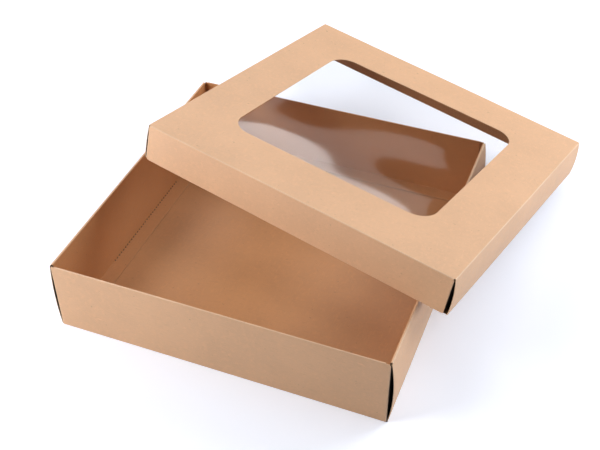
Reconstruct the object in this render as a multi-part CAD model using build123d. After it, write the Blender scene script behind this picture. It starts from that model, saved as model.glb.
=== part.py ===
"""A two-piece gift box folded from kraft card: an open tray and a windowed lid laid askew on it.

Origin at the middle of the tray's underside, X along the tray's front, Y to its back, Z up.
"""
from build123d import *
import math
import os

import numpy as np

# Card and film, in millimetres
card = 0.5
fold_radius = 0.3
roll_gap = 0.2
foot_gap = 0.1
film = 0.2
glue_line = 0.1

# Tray
tray_length = 305.0
tray_width = 305.0
tray_height = 71.4
tray_foot_inset = 4.0
tray_left_bow = 2.0
tray_right_bow = 3.2
tray_tab_length = 46.0

# Lid, sized to slip over the tray
lid_height = 36.7
lid_fit_gap = 0.3
lid_foot_inset = 2.6
lid_left_bow = 0.7
lid_right_bow = 1.5
lid_left_flare = 1.2
lid_right_flare = 2.9
lid_tab_length = 40.0
lid_twist = 2.8
twist_cells = 6

# Window and its film
window_length = 207.5
window_width = 202.5
window_corner = 20.0
window_shift_x = -1.4
window_shift_y = 2.7
film_lap = 12.0

# Flaps, corner tabs and perforated folds of both sheets
flap_width = 14.5
flap_lift = 2.5
mitre = 45.0
tab_gap = 0.4
tab_clearance = 1.0
tab_lap = 2.0
tab_taper = 9.0
corner_gap = 1.2
slot_length = 1.6
slot_width = 0.4
slot_pitch = 4.0
slotted_run = 135.0
overrun = 5.0

# How the lid lies on the tray: its middle in plan, its turn, and the gap at the three places it rests
lid_shift_x = 57.8
lid_shift_y = 101.3
lid_turn = -12.1
rest_gap = 0.15
settle_steps = 25

# Sizes that follow from those above
bend = card + fold_radius
side_wall = 2 * card + roll_gap
ridge_wall = 3 * card + 2 * tab_gap
lid_length = tray_length + 2 * ridge_wall + 2 * lid_fit_gap
lid_width = tray_width + 2 * side_wall + 2 * lid_fit_gap


def folded_strip(start, heading, steps):
    """Face of a bent card strip seen on edge, with the point and heading where it ends.

    The steps are runs, given by a length, and bends, given by a radius and a turn in degrees. They follow
    the right-hand face of the strip, and the card lies to the left of it.
    """
    near, far = [], []
    point = Vector(*start)
    for step in steps:
        ahead = Vector(1, 0).rotate(Axis.Z, heading)
        across = ahead.rotate(Axis.Z, 90) * card
        if isinstance(step, tuple):
            radius, turn = step
            near.append(JernArc(point, ahead, radius, turn).edge())
            far.append(JernArc(point + across, ahead, radius - math.copysign(card, turn), turn).edge())
            heading += turn
        else:
            near.append(Edge.make_line(point, point + ahead * step))
            far.append(Edge.make_line(point + across, point + across + ahead * step))
        point = near[-1] @ 1
    caps = [Edge.make_line(near[0] @ 0, far[0] @ 0), Edge.make_line(near[-1] @ 1, far[-1] @ 1)]
    return Face(Wire(near + far + caps)), (point.X, point.Y), heading


class FoldedBox:
    """One sheet folded into an open box, standing on its panel, with walls rolled over to double card."""

    def __init__(self, length, width, height, foot_inset, bows, flares, tab_length, twist=0):
        self.length = length
        self.width = width
        self.height = height
        self.foot_inset = foot_inset
        self.bows = bows
        self.flares = flares
        self.tab_length = tab_length
        self.twist = twist
        self.foot_height = card + foot_gap + fold_radius + card
        self.side_reach = length / 2 - card - tab_gap - bend
        self.end_reach = width / 2 - bend
        self.inner_side_reach = length / 2 - foot_inset - corner_gap
        self.inner_end_reach = width / 2 - side_wall - corner_gap

    def rise(self, x, y):
        """How far the twisted sheet stands above its flat place at a point of the plan."""
        return -self.twist * 4 * x * y / (self.length * self.width)

    def wall(self, out, fold, section, reach):
        """A wall section drawn along one side, from end to end, following the twist of its fold."""
        along = Vector(0, 0, 1).cross(out)
        ends = [out * fold - along * reach, out * fold + along * reach]
        low, high = [self.rise(end.X, end.Y) for end in ends]
        path = along * (2 * reach) + Vector(0, 0, high - low)
        frame = Plane(origin=along * -reach + Vector(0, 0, low), x_dir=out, z_dir=path * -1)
        return Solid.extrude(frame.from_local_coords(section), path)

    def flap_ends(self, out, root, reach):
        """Wedges that mitre both ends of a floor flap."""
        along = Vector(0, 0, 1).cross(out)
        depth = flap_width + overrun
        slant = depth / math.tan(math.radians(mitre))
        wedges = []
        for end in (-1, 1):
            corner = out * root + along * (end * reach)
            outline = Polyline(
                corner,
                corner + along * (end * overrun),
                corner + along * (end * overrun) - out * depth,
                corner - along * (end * slant) - out * depth,
                close=True,
            )
            wedges.append(extrude(make_face(outline), self.height / 2, both=True))
        return wedges

    def end_wall(self, out, bow, flare, slotted):
        """End wall: bowed outer panel, flat ridge, leaning inner panel and a flap on the floor."""
        half = self.length / 2
        bow_turn = 2 * math.degrees(math.atan(2 * bow / self.height))
        flare_turn = math.degrees(math.atan(flare / self.height))
        leave = 90 - flare_turn - bow_turn
        close = 90 - flare_turn + bow_turn
        fold = half - bend * math.sin(math.radians(leave))
        low = bend - bend * math.cos(math.radians(leave))
        high = self.height - bend - bend * math.cos(math.radians(close))
        chord = (high - low) / math.cos(math.radians(flare_turn))
        bow_radius = chord / (2 * math.sin(math.radians(bow_turn)))
        outer, point, heading = folded_strip((fold, 0), 0, [(bend, leave), (bow_radius, 2 * bow_turn)])

        lean = math.degrees(math.atan((self.foot_inset - ridge_wall) / self.height))
        crest = point[0] - bend * math.sin(math.radians(close))
        ridge = crest - (half - ridge_wall + bend)
        drop = self.height - bend + bend * math.sin(math.radians(lean))
        drop -= self.foot_height - fold_radius * math.sin(math.radians(lean))
        inner, tip, _ = folded_strip(point, heading, [
            (bend, 180 - close),
            ridge,
            (bend, 90 - lean),
            drop / math.cos(math.radians(lean)),
            (fold_radius, lean - 90 - flap_lift),
            flap_width,
        ])
        root = tip[0] + flap_width
        roll = self.wall(out, fold, inner, self.inner_end_reach)
        roll -= self.flap_ends(out, root, self.inner_end_reach)
        if slotted:
            roll -= self.fold_slots(out, half - self.foot_inset)
        return fold, [self.wall(out, fold, outer, self.end_reach), roll]

    def fold_slots(self, out, root):
        """Short cuts that perforate the middle stretch of a floor fold."""
        along = Vector(0, 0, 1).cross(out)
        count = int(slotted_run / slot_pitch)
        depth = 2 * (card + bend)
        slot = Box(depth, slot_width, slot_length)
        cuts = []
        for index in range(count):
            place = (index - (count - 1) / 2) * slot_pitch
            centre = out * root + along * place + Vector(0, 0, card + foot_gap + card)
            slant = (out * -1 + Vector(0, 0, 1)).normalized()
            cuts.append(Plane(origin=centre, x_dir=slant, z_dir=along).location * slot)
        return cuts

    def side_wall(self, out):
        """Side wall: two panels pressed together over a tight roll, and a flap on the floor."""
        half = self.width / 2
        roll_radius = side_wall / 2
        fold = half - bend
        rise = self.height - bend - roll_radius
        outer, point, heading = folded_strip((fold, 0), 0, [(bend, 90), rise])
        inner, tip, _ = folded_strip(point, heading, [
            (roll_radius, 180),
            self.height - roll_radius - self.foot_height,
            (fold_radius, -90 - flap_lift),
            flap_width,
        ])
        root = tip[0] + flap_width
        roll = self.wall(out, fold, inner, self.inner_side_reach)
        roll -= self.flap_ends(out, root, self.inner_side_reach)
        return [self.wall(out, fold, outer, self.side_reach), roll]

    def tabs(self):
        """Corner tabs, folded round from the side walls into the hollow end walls."""
        root = (self.side_reach - tab_lap, -self.width / 2)
        outline, _, _ = folded_strip(root, 0, [tab_lap, (bend, 90), self.tab_length])
        foot = bend + tab_clearance
        head = self.height - side_wall - tab_clearance
        strip = Solid.extrude(Pos(0, 0, foot) * outline, Vector(0, 0, head - foot))
        tip = self.tab_length + bend - self.width / 2
        for edge, slope in ((foot, 1), (head, -1)):
            corner = Polyline(
                (0, tip - self.tab_length / 2, edge),
                (0, tip + overrun, edge + slope * tab_taper),
                (0, tip + overrun, edge - slope * overrun),
                (0, tip - self.tab_length / 2, edge - slope * overrun),
                close=True,
            )
            strip -= extrude(make_face(corner), self.length, both=True, dir=(1, 0, 0))
        placed = []
        for x_side in (-1, 1):
            for y_side in (-1, 1):
                tab = strip if x_side > 0 else mirror(strip, about=Plane.YZ)
                tab = tab if y_side < 0 else mirror(tab, about=Plane.XZ)
                lift = self.rise(x_side * self.side_reach, y_side * self.width / 2)
                placed.append(Pos(0, 0, lift) * tab)
        return placed

    def panel(self, left, right, front, back, base, thickness):
        """A sheet over a rectangle of the plan, in flat triangles that follow the twist."""
        cells = twist_cells if self.twist else 1
        xs = np.linspace(left, right, cells + 1).tolist()
        ys = np.linspace(front, back, cells + 1).tolist()

        def at_level(points, level):
            return [(x, y, base + level + self.rise(x, y)) for x, y in points]

        outlines = []
        for level in (0, thickness):
            for x0, x1 in zip(xs, xs[1:]):
                for y0, y1 in zip(ys, ys[1:]):
                    outlines.append(at_level([(x0, y0), (x1, y0), (x1, y1)], level))
                    outlines.append(at_level([(x0, y0), (x1, y1), (x0, y1)], level))
        edges = [[(x, y) for x in xs] for y in (front, back)]
        edges += [[(x, y) for y in ys] for x in (left, right)]
        for edge in edges:
            outlines.append(at_level(edge, 0) + at_level(reversed(edge), thickness))
        return Solid(Shell([Face(Wire.make_polygon(outline)) for outline in outlines]))

    def sheet(self, slotted=False):
        """The whole folded sheet as one solid."""
        left_fold, left_wall = self.end_wall(Vector(-1, 0, 0), self.bows[0], self.flares[0], slotted)
        right_fold, right_wall = self.end_wall(Vector(1, 0, 0), self.bows[1], self.flares[1], slotted)
        floor = self.panel(-left_fold, right_fold, -self.end_reach, self.end_reach, 0, card)
        sides = self.side_wall(Vector(0, -1, 0)) + self.side_wall(Vector(0, 1, 0))
        return Part() + [floor, *left_wall, *right_wall, *sides, *self.tabs()]


tray_box = FoldedBox(
    tray_length, tray_width, tray_height, tray_foot_inset,
    (tray_left_bow, tray_right_bow), (0, 0), tray_tab_length,
)
lid_box = FoldedBox(
    lid_length, lid_width, lid_height, lid_foot_inset,
    (lid_left_bow, lid_right_bow), (lid_left_flare, lid_right_flare), lid_tab_length, lid_twist,
)


def tray():
    """Open tray with perforated folds at the feet of its end walls."""
    return tray_box.sheet(slotted=True)


def lid():
    """Lid standing on its top panel, with the window cut through it."""
    window = RectangleRounded(window_length, window_width, window_corner)
    hole = extrude(Pos(window_shift_x, -window_shift_y, 0) * window, overrun, both=True)
    return lid_box.sheet() - hole


def window_film():
    """Clear film on the inner side of the lid's top panel, lapping the card all round the window."""
    reach_x = window_length / 2 + film_lap
    reach_y = window_width / 2 + film_lap
    left, right = window_shift_x - reach_x, window_shift_x + reach_x
    front, back = -window_shift_y - reach_y, -window_shift_y + reach_y
    return lid_box.panel(left, right, front, back, card + glue_line, film)


def lid_plane(height, slope_x, slope_y):
    """Plane of the lid's outer top face, from the height of its middle and its slopes."""
    turn = math.radians(lid_turn)
    ahead = (math.cos(turn), math.sin(turn), slope_x * math.cos(turn) + slope_y * math.sin(turn))
    return Plane(origin=(lid_shift_x, lid_shift_y, height), x_dir=ahead, z_dir=(-slope_x, -slope_y, 1))


def lid_point(plane, x, y, depth):
    """Place of a point of the lid, given below its top face, with the twist of the sheet."""
    return plane.from_local_coords(Vector(x, y, lid_box.rise(x, y) - depth))


def crossing(start, end, axis, value):
    """Point of a straight edge where one of its coordinates has a given value."""
    share = (value - tuple(start)[axis]) / (tuple(end)[axis] - tuple(start)[axis])
    return start + (end - start) * share


def resting_plane():
    """The lid settled on the tray: on the back rim, on the right rim, and with the film on a corner."""
    height, slope_x, slope_y = tray_height + lid_height, 0, 0
    left = ridge_wall - lid_length / 2
    front = side_wall - lid_width / 2
    rim = tray_height + rest_gap
    for _ in range(settle_steps):
        plane = lid_plane(height, slope_x, slope_y)
        left_ridge = [lid_point(plane, left, y, lid_height) for y in (-lid_width / 2, lid_width / 2)]
        front_ridge = [lid_point(plane, x, front, lid_height) for x in (-lid_length / 2, lid_length / 2)]
        on_back = crossing(*left_ridge, axis=1, value=tray_width / 2)
        on_right = crossing(*front_ridge, axis=0, value=tray_length / 2)
        corner = Vector(tray_length / 2, tray_width / 2, tray_height)
        under = plane.to_local_coords(corner)
        on_corner = lid_point(plane, under.X, under.Y, card + glue_line + film)
        touches = [(on_back, rim - on_back.Z), (on_right, rim - on_right.Z), (corner, rim - on_corner.Z)]
        places = [(1, point.X - lid_shift_x, point.Y - lid_shift_y) for point, _ in touches]
        change = np.linalg.solve(np.array(places), np.array([lift for _, lift in touches]))
        height, slope_x, slope_y = np.add((height, slope_x, slope_y), change).tolist()
    return lid_plane(height, slope_x, slope_y)


laid = resting_plane().location * Rot(180, 0, 0)
nodes = {
    "tray": tray(),
    "lid": laid * lid(),
    "window_film": laid * window_film(),
}

os.makedirs("parts", exist_ok=True)
for name, shape in nodes.items():
    export_step(shape, os.path.join("parts", name + ".step"))
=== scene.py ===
"""Dresses the window gift box: kraft card with folds and cut edges, a wavy clear film, light and camera."""
import math
from collections import namedtuple

import bmesh
import bpy
from mathutils import Matrix, Vector, noise
from mathutils.bvhtree import BVHTree


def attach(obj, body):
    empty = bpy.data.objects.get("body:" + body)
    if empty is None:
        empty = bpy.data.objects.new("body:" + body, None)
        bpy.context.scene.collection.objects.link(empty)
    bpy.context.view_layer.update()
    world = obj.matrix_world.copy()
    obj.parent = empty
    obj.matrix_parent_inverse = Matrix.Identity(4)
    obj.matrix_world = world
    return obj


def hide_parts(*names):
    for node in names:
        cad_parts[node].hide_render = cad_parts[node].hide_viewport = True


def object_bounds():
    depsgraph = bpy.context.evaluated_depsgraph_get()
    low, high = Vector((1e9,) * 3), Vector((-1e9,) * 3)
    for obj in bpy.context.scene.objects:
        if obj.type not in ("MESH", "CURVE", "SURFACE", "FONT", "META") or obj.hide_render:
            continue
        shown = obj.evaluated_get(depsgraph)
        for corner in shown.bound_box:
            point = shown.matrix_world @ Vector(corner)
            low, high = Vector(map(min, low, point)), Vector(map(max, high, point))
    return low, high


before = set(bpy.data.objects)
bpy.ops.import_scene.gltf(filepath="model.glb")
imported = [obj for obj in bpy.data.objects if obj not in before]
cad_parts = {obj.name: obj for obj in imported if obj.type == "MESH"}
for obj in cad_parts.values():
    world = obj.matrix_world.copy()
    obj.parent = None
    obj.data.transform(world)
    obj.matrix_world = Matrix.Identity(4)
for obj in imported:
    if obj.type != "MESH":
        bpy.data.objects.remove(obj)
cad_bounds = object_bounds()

MM = 0.001
WHITE = (1, 1, 1)

# Card, and how its faces are told apart
CARD_THICKNESS = 0.5 * MM
SHEET_LIMIT = 1.5 * CARD_THICKNESS
FOLD_WIDTH = 0.7 * MM
FOLD_LEAST_TURN = math.radians(4)
SHARP_TURN = math.radians(40)
WELD_DISTANCE = CARD_THICKNESS / 500
RAY_START = CARD_THICKNESS / 100
GRID_STEP = 24 * MM
TRAY_AXES = (Vector((1, 0, 0)), Vector((0, 1, 0)), Vector((0, 0, 1)))

# Kinds of card face, in the order of the card's materials: folds get fold whitening and a painted highlight,
# inside faces and hollows get painted shade
OUTER, FOLD, CUT_EDGE, INSIDE_SHADE, HOLLOW_SHADE = range(5)

# Waviness of the card, which fades out towards the ground
WARP_DEPTH = 0.35 * MM
WARP_LENGTH = 110 * MM
WARP_GROUND = 15 * MM
WARP_SEED = 7

# Hollows inside the double walls, which get a painted near-black shade: their widest gap, and the upward part
# of a steep face's normal
HOLLOW_GAP = 20 * MM
HOLLOW_STEEP = 0.6

# Perforation at the feet of the tray's end walls, whose cut faces get a painted near-black shade: where it
# lies, its largest faces and its spread
SLOT_REACH = 75 * MM
SLOT_ZONE = 4 * MM
SLOT_FACE_AREA = 1 * MM * MM
SLOT_LENGTH = 2 * MM
SLOT_SPREAD = 4.7

# Card colours, linear, and the strength of the fibres on folds and cut edges. The fold colour is lighter for
# fold whitening and a painted highlight; the inside colour is darker and redder as painted shade of the box's
# inside; the hollow colour is near-black painted shade
KRAFT = (0.79, 0.462, 0.262)
KRAFT_FOLD_WHITENING_AND_HIGHLIGHT = (0.83, 0.54, 0.34)
KRAFT_EDGE = (0.68, 0.44, 0.26)
KRAFT_INSIDE_PAINTED_SHADE = (0.62, 0.295, 0.12)
KRAFT_HOLLOW_PAINTED_SHADE = (0.05, 0.03, 0.018)
FOLD_FIBRE = 0.6
EDGE_FIBRE = 0.4

# Layers of the card's colour: a noise, the tone that it brings where it is high, and whether it is fibre
Layer = namedtuple("Layer", "name scale detail stretch turn tone low high strength is_fibre")
EVEN = (1, 1, 1)
KRAFT_LAYERS = (
    Layer("clouds", 22, 3, EVEN, 0, 0.92, 0.35, 0.7, 1, False),
    Layer("matting", 260, 4, EVEN, 0, 1.07, 0.5, 0.75, 0.6, False),
    Layer("grain_x", 900, 3, (0.18, 1, 1), 0.15, 0.82, 0.55, 0.8, 0.55, True),
    Layer("grain_y", 900, 3, (1, 0.18, 1), -0.2, 1.14, 0.56, 0.8, 0.55, True),
    Layer("flecks", 420, 1, (0.55, 1, 1), 0.7, 0.5, 0.745, 0.8, 0.55, True),
    Layer("hairs", 520, 2, (0.12, 1, 0.6), 1.1, 1.25, 0.72, 0.8, 0.5, True),
)

# Card surface: relief of the grain, gloss, and roughness from the least to the most matted places
RELIEF_STRENGTH = 0.25
RELIEF_DEPTH = 0.06 * MM
KRAFT_SPECULAR = 0.75
MATTING_LEAST = 0.3
MATTING_MOST = 0.7
ROUGHNESS_LEAST = 0.5
ROUGHNESS_MOST = 0.62

# Film, glued all round by its lap, with a strip beside the lap where it leaves the card's waviness
FILM_CELLS = 96
FILM_THICKNESS = 0.2 * MM
FILM_LAP = 12 * MM
FILM_STRIP = 25 * MM
FILM_MIRROR = 0.045
FILM_GRAZING_POWER = 5
FILM_ROUGHNESS = 0.06
FILM_CLEAR = (0.985, 0.985, 0.985)
FACING_BLEND = 0.5

# Standing waves of the film: bows across the window, bows along it, and depth
FILM_WAVES = (
    (1, 1, 0.7 * MM),
    (1, 2, -0.2 * MM),
    (1, 3, 0.2 * MM),
    (1, 4, 0.2 * MM),
    (2, 2, 0.4 * MM),
    (2, 4, -0.1 * MM),
    (3, 3, 0.2 * MM),
    (3, 4, 0.1 * MM),
)

# Floor: its half size, its colours, and how its brightness grows with the distance from the box
FLOOR_REACH = 4.0
FLOOR_DROP = CARD_THICKNESS / 10
FLOOR_MATT = (0.45, 0.45, 0.465)
FLOOR_PALE = (0.79, 0.82, 0.91)
FLOOR_LIFT = (0.93, 0.945, 1.0)
LIFT_NEAR = 0.45
LIFT_FAR = 1.3
LIFT_LEAST = 0.35
LIFT_MOST = 1.0

# Room: the strength of its dim light, and of the white that the camera sees
ROOM_STRENGTH = 0.03
BACKDROP_STRENGTH = 1

# Lamps, in metres and watts, with two panels that the film mirrors as its veils
Softbox = namedtuple("Softbox", "name place target width height power colour")
BOX_MIDDLE = (0.04, 0.06, 0.05)
SOFTBOXES = (
    Softbox("left_low", (-0.55, -0.5, 0.22), BOX_MIDDLE, 0.45, 0.35, 3.1, (0.95, 0.98, 1.0)),
    Softbox("left_front_high", (-0.8, -0.6, 0.9), BOX_MIDDLE, 0.6, 0.6, 7.0, WHITE),
    Softbox("right_low", (1.1, 0.2, 0.2), BOX_MIDDLE, 0.6, 0.3, 4.8, (0.83, 0.91, 1.0)),
    Softbox("right_back_high", (0.9, 0.8, 0.9), BOX_MIDDLE, 0.5, 0.5, 9.6, (0.91, 0.965, 1.0)),
    Softbox("overhead", (0.1, 0.2, 1.3), BOX_MIDDLE, 0.9, 0.9, 3.8, WHITE),
    Softbox("behind_left", (-0.75, 1.2, 0.9), BOX_MIDDLE, 0.7, 0.7, 2.6, (1.0, 0.97, 0.95)),
    Softbox("behind_right", (0.8, 1.2, 0.6), BOX_MIDDLE, 0.6, 0.5, 3.6, (0.95, 0.96, 1.0)),
    Softbox("panel_low", (-0.39, 1.3, 0.69), (-0.39, 0, 0.69), 1.03, 0.11, 0.26, WHITE),
    Softbox("panel_high", (-0.4, 1.3, 0.87), (-0.4, 0, 0.87), 1.0, 0.26, 3.2, WHITE),
)

# Camera, from the photograph's fitted view of a 600 by 450 image
IMAGE_WIDTH = 600
FOCAL_PIXELS = 990.8
SENSOR_WIDTH = 36
CAMERA_PLACE = Vector((270.94, -640.27, 653.19)) * MM
CAMERA_ELEVATION = math.radians(41.394)
CAMERA_AZIMUTH = math.radians(-21.651)
CAMERA_ROLL = math.radians(0.398)


def opaque(colour):
    """A colour with the full alpha that a shader's colour socket takes."""
    return (*colour, 1)


def scaled(colour, factor):
    """A lighter or darker tone of a colour."""
    return tuple(min(1.0, channel * factor) for channel in colour)


def new_material(name):
    """An empty node material with its output node."""
    material = bpy.data.materials.new(name)
    material.use_nodes = True
    nodes = material.node_tree.nodes
    nodes.clear()
    output = nodes.new("ShaderNodeOutputMaterial")
    return material, nodes, material.node_tree.links, output


def noise_node(nodes, links, coordinates, layer):
    """A layer's noise on object coordinates, stretched and turned about the vertical."""
    mapping = nodes.new("ShaderNodeMapping")
    mapping.inputs["Scale"].default_value = layer.stretch
    mapping.inputs["Rotation"].default_value = (0, 0, layer.turn)
    links.new(coordinates, mapping.inputs["Vector"])
    texture = nodes.new("ShaderNodeTexNoise")
    texture.inputs["Scale"].default_value = layer.scale
    texture.inputs["Detail"].default_value = layer.detail
    links.new(mapping.outputs["Vector"], texture.inputs["Vector"])
    return texture.outputs["Fac"]


def ramp(nodes, links, value, low, high, start, end):
    """A number mapped from one range to another, held at its ends."""
    node = nodes.new("ShaderNodeMapRange")
    node.inputs["From Min"].default_value = low
    node.inputs["From Max"].default_value = high
    node.inputs["To Min"].default_value = start
    node.inputs["To Max"].default_value = end
    links.new(value, node.inputs["Value"])
    return node.outputs["Result"]


def tint(nodes, links, colour, target, amount):
    """A colour moved towards another one by an amount that a texture gives."""
    node = nodes.new("ShaderNodeMix")
    node.data_type = "RGBA"
    links.new(amount, node.inputs["Factor"])
    if isinstance(colour, tuple):
        node.inputs["A"].default_value = opaque(colour)
    else:
        links.new(colour, node.inputs["A"])
    node.inputs["B"].default_value = opaque(target)
    return node.outputs["Result"]


def combined(nodes, links, operation, first, second):
    """Two numbers combined by an operation."""
    node = nodes.new("ShaderNodeMath")
    node.operation = operation
    links.new(first, node.inputs[0])
    links.new(second, node.inputs[1])
    return node.outputs["Value"]


def mixed(nodes, links, share, first, second):
    """Two shaders mixed, with the share of the second one given."""
    node = nodes.new("ShaderNodeMixShader")
    links.new(share, node.inputs["Fac"])
    links.new(first, node.inputs[1])
    links.new(second, node.inputs[2])
    return node.outputs["Shader"]


def kraft_material(name, colour, fibre=1.0):
    """Uncoated kraft card: soft clouds, matted fibres, sparse dark flecks and pale hairs."""
    material, nodes, links, output = new_material(name)
    place = nodes.new("ShaderNodeTexCoord").outputs["Object"]
    textures = {}
    shade = colour
    for layer in KRAFT_LAYERS:
        texture = noise_node(nodes, links, place, layer)
        strength = layer.strength * fibre if layer.is_fibre else layer.strength
        amount = ramp(nodes, links, texture, layer.low, layer.high, 0, strength)
        shade = tint(nodes, links, shade, scaled(colour, layer.tone), amount)
        textures[layer.name] = texture

    bump = nodes.new("ShaderNodeBump")
    bump.inputs["Strength"].default_value = RELIEF_STRENGTH
    bump.inputs["Distance"].default_value = RELIEF_DEPTH
    relief = combined(nodes, links, "ADD", textures["grain_x"], textures["grain_y"])
    links.new(relief, bump.inputs["Height"])

    matting = textures["matting"]
    roughness = ramp(nodes, links, matting, MATTING_LEAST, MATTING_MOST, ROUGHNESS_LEAST, ROUGHNESS_MOST)
    shader = nodes.new("ShaderNodeBsdfPrincipled")
    shader.inputs["Specular IOR Level"].default_value = KRAFT_SPECULAR
    links.new(shade, shader.inputs["Base Color"])
    links.new(roughness, shader.inputs["Roughness"])
    links.new(bump.outputs["Normal"], shader.inputs["Normal"])
    links.new(shader.outputs["BSDF"], output.inputs["Surface"])
    return material


def film_material(name):
    """Clear film: it passes light straight through and mirrors more of it at a grazing view."""
    material, nodes, links, output = new_material(name)
    gloss = nodes.new("ShaderNodeBsdfGlossy")
    gloss.inputs["Roughness"].default_value = FILM_ROUGHNESS
    clear = nodes.new("ShaderNodeBsdfTransparent")
    clear.inputs["Color"].default_value = opaque(FILM_CLEAR)
    facing = nodes.new("ShaderNodeLayerWeight")
    facing.inputs["Blend"].default_value = FACING_BLEND
    grazing = nodes.new("ShaderNodeMath")
    grazing.operation = "POWER"
    grazing.inputs[1].default_value = FILM_GRAZING_POWER
    links.new(facing.outputs["Facing"], grazing.inputs[0])
    mirrored = ramp(nodes, links, grazing.outputs["Value"], 0, 1, FILM_MIRROR, 1)
    surface = mixed(nodes, links, mirrored, clear.outputs["BSDF"], gloss.outputs["BSDF"])
    links.new(surface, output.inputs["Surface"])
    return material


def floor_material(name):
    """A matt floor that takes the box's shadow, and shows paler and brighter than it lights the box."""
    material, nodes, links, output = new_material(name)
    matt = nodes.new("ShaderNodeBsdfDiffuse")
    matt.inputs["Color"].default_value = opaque(FLOOR_MATT)
    pale = nodes.new("ShaderNodeBsdfDiffuse")
    pale.inputs["Color"].default_value = opaque(FLOOR_PALE)
    lift = nodes.new("ShaderNodeEmission")
    lift.inputs["Color"].default_value = opaque(FLOOR_LIFT)
    distance = nodes.new("ShaderNodeVectorMath")
    distance.operation = "LENGTH"
    place = nodes.new("ShaderNodeTexCoord").outputs["Object"]
    links.new(place, distance.inputs[0])
    brightness = ramp(nodes, links, distance.outputs["Value"], LIFT_NEAR, LIFT_FAR, LIFT_LEAST, LIFT_MOST)
    links.new(brightness, lift.inputs["Strength"])
    shown = nodes.new("ShaderNodeAddShader")
    links.new(pale.outputs["BSDF"], shown.inputs[0])
    links.new(lift.outputs["Emission"], shown.inputs[1])
    path = nodes.new("ShaderNodeLightPath").outputs
    seen = combined(nodes, links, "MAXIMUM", path["Is Camera Ray"], path["Is Glossy Ray"])
    seen = combined(nodes, links, "MAXIMUM", seen, path["Is Transmission Ray"])
    surface = mixed(nodes, links, seen, matt.outputs["BSDF"], shown.outputs["Shader"])
    links.new(surface, output.inputs["Surface"])
    return material


def add_object(name, data):
    """A new object in the scene."""
    thing = bpy.data.objects.new(name, data)
    bpy.context.scene.collection.objects.link(thing)
    return thing


def add_piece(name, mesh, materials):
    """A new object made from a mesh, shaded smooth apart from its sharp edges."""
    for face in mesh.faces:
        face.smooth = True
    for edge in mesh.edges:
        edge.smooth = edge.calc_face_angle(0) < SHARP_TURN
    data = bpy.data.meshes.new(name)
    mesh.to_mesh(data)
    mesh.free()
    for material in materials:
        data.materials.append(material)
    return add_object(name, data)


def warp(point):
    """A point moved by the slight waviness of real card, and kept within the object's box.

    It is the same for all pieces, so that they keep their places on each other.
    """
    move = noise.noise_vector(point / WARP_LENGTH) * WARP_DEPTH
    move.z *= min(1.0, max(0.0, point.z / WARP_GROUND))
    place = point + move
    lowest, highest = cad_bounds
    return Vector(min(highest[k], max(lowest[k], place[k])) for k in range(3))


def longest_edge(face):
    """The length of a face's longest edge."""
    return max(edge.calc_length() for edge in face.edges)


def narrow(face):
    """True if a triangle is as slim as the strips that a fold is made of."""
    return 2 * face.calc_area() / longest_edge(face) < FOLD_WIDTH


def bends(face):
    """True if the surface turns at one of the face's edges, but not sharply."""
    turns = [edge.calc_face_angle(0) for edge in face.edges]
    return any(FOLD_LEAST_TURN < turn < SHARP_TURN for turn in turns)


def box_middle(mesh):
    """The middle of the box round a mesh, which for an open tray or lid lies in its hollow."""
    low = Vector(min(vertex.co[k] for vertex in mesh.verts) for k in range(3))
    high = Vector(max(vertex.co[k] for vertex in mesh.verts) for k in range(3))
    return (low + high) / 2


def sort_faces(mesh):
    """Marks each face as outer card, inside face with painted shade, fold with fold whitening and a painted
    highlight, or cut edge, by what is behind it and how it turns.
    """
    tree = BVHTree.FromBMesh(mesh)
    heart = box_middle(mesh)
    for face in mesh.faces:
        middle = face.calc_center_median()
        start = middle - face.normal * RAY_START
        _, _, _, depth = tree.ray_cast(start, -face.normal)
        if depth is None or depth > SHEET_LIMIT:
            face.material_index = CUT_EDGE
        elif face.normal.dot(heart - middle) > 0:
            face.material_index = INSIDE_SHADE
        elif narrow(face) and bends(face):
            face.material_index = FOLD
        else:
            face.material_index = OUTER


def shade_hollows(mesh):
    """Gives a painted near-black shade to the steep faces that close in on each other inside a double wall.
    """
    tree = BVHTree.FromBMesh(mesh)
    for face in mesh.faces:
        if abs(face.normal.z) < HOLLOW_STEEP:
            start = face.calc_center_median() + face.normal * RAY_START
            _, _, _, gap = tree.ray_cast(start, face.normal, HOLLOW_GAP)
            if gap is not None:
                face.material_index = HOLLOW_SHADE


def slot_rims(mesh, side):
    """The corners of the small cut faces that line the perforation on one side."""
    rims = set()
    for face in mesh.faces:
        middle = face.calc_center_median()
        near = middle.x * side > 0 and abs(middle.y) < SLOT_REACH and middle.z < SLOT_ZONE
        if near and face.material_index == CUT_EDGE and face.calc_area() < SLOT_FACE_AREA:
            rims.update(face.verts)
    return rims


def open_slots(mesh):
    """Paints a near-black shade on the cuts that perforate the feet of the tray's end walls, and spreads
    them.

    On the tray's inside, the upper rims move up the wall and the lower ones along the flap.
    """
    for side in (-1, 1):
        rims = slot_rims(mesh, side)
        if not rims:
            continue
        for face in mesh.faces:
            if longest_edge(face) < SLOT_LENGTH and rims.issuperset(face.verts):
                face.material_index = HOLLOW_SHADE
        ring = [vertex for vertex in mesh.verts if vertex in rims]
        middle = sum((vertex.co for vertex in ring), Vector()) / len(ring)
        inward = Vector((-side, 0, 1)).normalized()
        slope = Vector((side, 0, 1)).normalized()
        for vertex in ring:
            offset = vertex.co - middle
            spread = offset.dot(slope) * (SLOT_SPREAD - 1)
            if offset.dot(inward) > 0:
                vertex.co += Vector((0, 0, spread)) if spread > 0 else Vector((side * spread, 0, 0))


def weld(mesh):
    """Joins the points that lie on each other, and leaves triangles only."""
    bmesh.ops.remove_doubles(mesh, verts=mesh.verts, dist=WELD_DISTANCE)
    bmesh.ops.triangulate(mesh, faces=mesh.faces)


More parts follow.
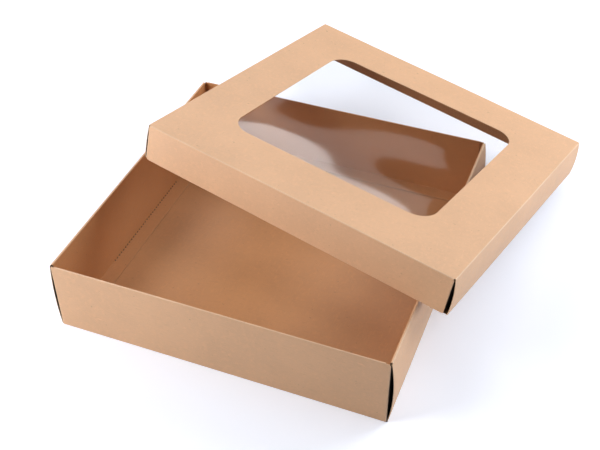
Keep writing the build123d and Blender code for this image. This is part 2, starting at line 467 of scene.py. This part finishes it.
def refine(mesh, axes):
    """Slices the mesh into a grid, so that the sheet can warp and carry shading."""
    for axis in axes:
        reach = [vertex.co.dot(axis) for vertex in mesh.verts]
        low, high = min(reach), max(reach)
        slices = math.ceil((high - low) / GRID_STEP)
        for index in range(1, slices):
            place = axis * (low + (high - low) * index / slices)
            everything = mesh.verts[:] + mesh.edges[:] + mesh.faces[:]
            bmesh.ops.bisect_plane(mesh, geom=everything, plane_co=place, plane_no=axis)
    weld(mesh)


def card_piece(name, node, axes, materials):
    """A folded card sheet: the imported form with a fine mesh, sorted faces, a slight warp and soft folds."""
    mesh = bmesh.new()
    mesh.from_mesh(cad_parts[node].data)
    weld(mesh)
    mesh.normal_update()
    sort_faces(mesh)
    open_slots(mesh)
    shade_hollows(mesh)
    refine(mesh, axes)
    for vertex in mesh.verts:
        vertex.co = warp(vertex.co)
    mesh.normal_update()
    piece = add_piece(name, mesh, materials)
    normals = piece.modifiers.new("Weighted normals", "WEIGHTED_NORMAL")
    normals.keep_sharp = True
    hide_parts(node)
    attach(piece, "root")


def film_corners():
    """The film's corners at its upper face: left front, right front, right back, left back.

    The lid is turned, so they are the points that reach furthest left, front, right and back.
    """
    points = [vertex.co.copy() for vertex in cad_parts["window_film"].data.vertices]
    outer = []
    for direction in ((-1, 0), (0, -1), (1, 0), (0, 1)):
        reach = [point.x * direction[0] + point.y * direction[1] for point in points]
        outer.append(points[reach.index(max(reach))])
    return outer


def lid_axes():
    """Directions of the lid's length, width and height."""
    left_front, right_front, right_back, left_back = film_corners()
    across = (right_front - left_front + right_back - left_back).normalized()
    above = across.cross(left_back - left_front + right_back - right_front).normalized()
    return across, above.cross(across), above


def film_height(across, along):
    """How far the film stands off its flat place: standing waves between the glued edges of the window."""
    height = 0.0
    for bows_across, bows_along, depth in FILM_WAVES:
        height += depth * math.sin(math.pi * bows_across * across) * math.sin(math.pi * bows_along * along)
    return height


def within(share, length):
    """A place along the film as a share of the open window, and its distance from the window's edge."""
    place = share * length - FILM_LAP
    opening = length - 2 * FILM_LAP
    return min(1.0, max(0.0, place / opening)), max(0.0, min(place, opening - place))


def eased(share):
    """A share from 0 to 1 that starts and ends gently."""
    return share * share * (3 - 2 * share)


def film_layer(mesh, depth):
    """A grid of points on the wavy film, at a depth under its upper face."""
    left_front, right_front, right_back, left_back = film_corners()
    normal = (right_front - left_front).cross(left_back - left_front).normalized()
    width = (right_front - left_front).length
    length = (left_back - left_front).length
    rows = []
    for j in range(FILM_CELLS + 1):
        along = j / FILM_CELLS
        open_along, end_gap = within(along, length)
        left = left_front.lerp(left_back, along)
        right = right_front.lerp(right_back, along)
        row = []
        for i in range(FILM_CELLS + 1):
            across = i / FILM_CELLS
            open_across, side_gap = within(across, width)
            place = left.lerp(right, across)
            freedom = min(1.0, side_gap / FILM_STRIP, end_gap / FILM_STRIP)
            place = warp(place).lerp(place, eased(freedom))
            rise = film_height(open_across, open_along) - depth
            row.append(mesh.verts.new(place + normal * rise))
        rows.append(row)
    return rows


def film_piece(name, material):
    """The window's clear film, as a closed thin sheet with gentle waves."""
    mesh = bmesh.new()
    upper = film_layer(mesh, 0)
    lower = film_layer(mesh, FILM_THICKNESS)
    last = FILM_CELLS
    for j in range(FILM_CELLS):
        for i in range(FILM_CELLS):
            mesh.faces.new((upper[j][i], upper[j][i + 1], upper[j + 1][i + 1], upper[j + 1][i]))
            mesh.faces.new((lower[j][i], lower[j + 1][i], lower[j + 1][i + 1], lower[j][i + 1]))
    for k in range(FILM_CELLS):
        mesh.faces.new((upper[0][k + 1], upper[0][k], lower[0][k], lower[0][k + 1]))
        mesh.faces.new((upper[last][k], upper[last][k + 1], lower[last][k + 1], lower[last][k]))
        mesh.faces.new((upper[k][0], upper[k + 1][0], lower[k + 1][0], lower[k][0]))
        mesh.faces.new((upper[k + 1][last], upper[k][last], lower[k][last], lower[k + 1][last]))
    piece = add_piece(name, mesh, [material])
    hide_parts("window_film")
    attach(piece, "root")


def floor():
    """A wide pale floor just under the box."""
    corners = [(x * FLOOR_REACH, y * FLOOR_REACH, 0) for x, y in ((-1, -1), (1, -1), (1, 1), (-1, 1))]
    data = bpy.data.meshes.new("floor")
    data.from_pydata(corners, [], [(0, 1, 2, 3)])
    data.materials.append(floor_material("floor_white"))
    piece = add_object("floor", data)
    piece.location.z = -FLOOR_DROP


def studio_light():
    """Softboxes left, right, overhead and behind, each an area lamp that faces its target."""
    for box in SOFTBOXES:
        lamp = bpy.data.lights.new(box.name, "AREA")
        lamp.shape = "RECTANGLE"
        lamp.size = box.width
        lamp.size_y = box.height
        lamp.energy = box.power
        lamp.color = box.colour
        thing = add_object(box.name, lamp)
        thing.location = box.place
        ahead = Vector(box.target) - Vector(box.place)
        thing.rotation_euler = ahead.to_track_quat("-Z", "Y").to_euler()


def white_room():
    """A dim room that the camera sees as white."""
    world = bpy.data.worlds.new("room")
    world.use_nodes = True
    nodes = world.node_tree.nodes
    links = world.node_tree.links
    room = nodes["Background"]
    backdrop = nodes.new("ShaderNodeBackground")
    for background, strength in ((room, ROOM_STRENGTH), (backdrop, BACKDROP_STRENGTH)):
        background.inputs["Color"].default_value = opaque(WHITE)
        background.inputs["Strength"].default_value = strength
    seen = nodes.new("ShaderNodeLightPath").outputs["Is Camera Ray"]
    surface = mixed(nodes, links, seen, room.outputs["Background"], backdrop.outputs["Background"])
    links.new(surface, nodes["World Output"].inputs["Surface"])
    bpy.context.scene.world = world


def photo_camera():
    """The camera at the photograph's viewing angle."""
    cos_e, sin_e = math.cos(CAMERA_ELEVATION), math.sin(CAMERA_ELEVATION)
    cos_a, sin_a = math.cos(CAMERA_AZIMUTH), math.sin(CAMERA_AZIMUTH)
    ahead = Vector((cos_e * sin_a, cos_e * cos_a, -sin_e))
    right = Vector((cos_a, -sin_a, 0))
    up = right.cross(ahead)
    roll = Matrix.Rotation(CAMERA_ROLL, 3, ahead)
    right, up = roll @ right, roll @ up
    data = bpy.data.cameras.new("photo_camera")
    data.sensor_width = SENSOR_WIDTH
    data.lens = FOCAL_PIXELS * SENSOR_WIDTH / IMAGE_WIDTH
    camera = add_object("photo_camera", data)
    turn = Matrix((right, up, -ahead)).transposed()
    camera.matrix_world = Matrix.Translation(CAMERA_PLACE) @ turn.to_4x4()
    bpy.context.scene.camera = camera


noise.seed_set(WARP_SEED)
# The fold material is lighter for fold whitening and a painted highlight; the inside and hollow materials are
# painted shade
card_materials = (
    kraft_material("kraft_card", KRAFT),
    kraft_material("kraft_fold_whitening_and_painted_highlight", KRAFT_FOLD_WHITENING_AND_HIGHLIGHT, FOLD_FIBRE),
    kraft_material("kraft_cut_edge", KRAFT_EDGE, EDGE_FIBRE),
    kraft_material("kraft_inside_painted_shade", KRAFT_INSIDE_PAINTED_SHADE),
    kraft_material("kraft_hollow_painted_shade", KRAFT_HOLLOW_PAINTED_SHADE),
)
card_piece("tray_card", "tray", TRAY_AXES, card_materials)
card_piece("lid_card", "lid", lid_axes(), card_materials)
film_piece("film_sheet", film_material("clear_film"))
floor()
studio_light()
white_room()
photo_camera()
bpy.context.scene.view_settings.view_transform = "Standard"
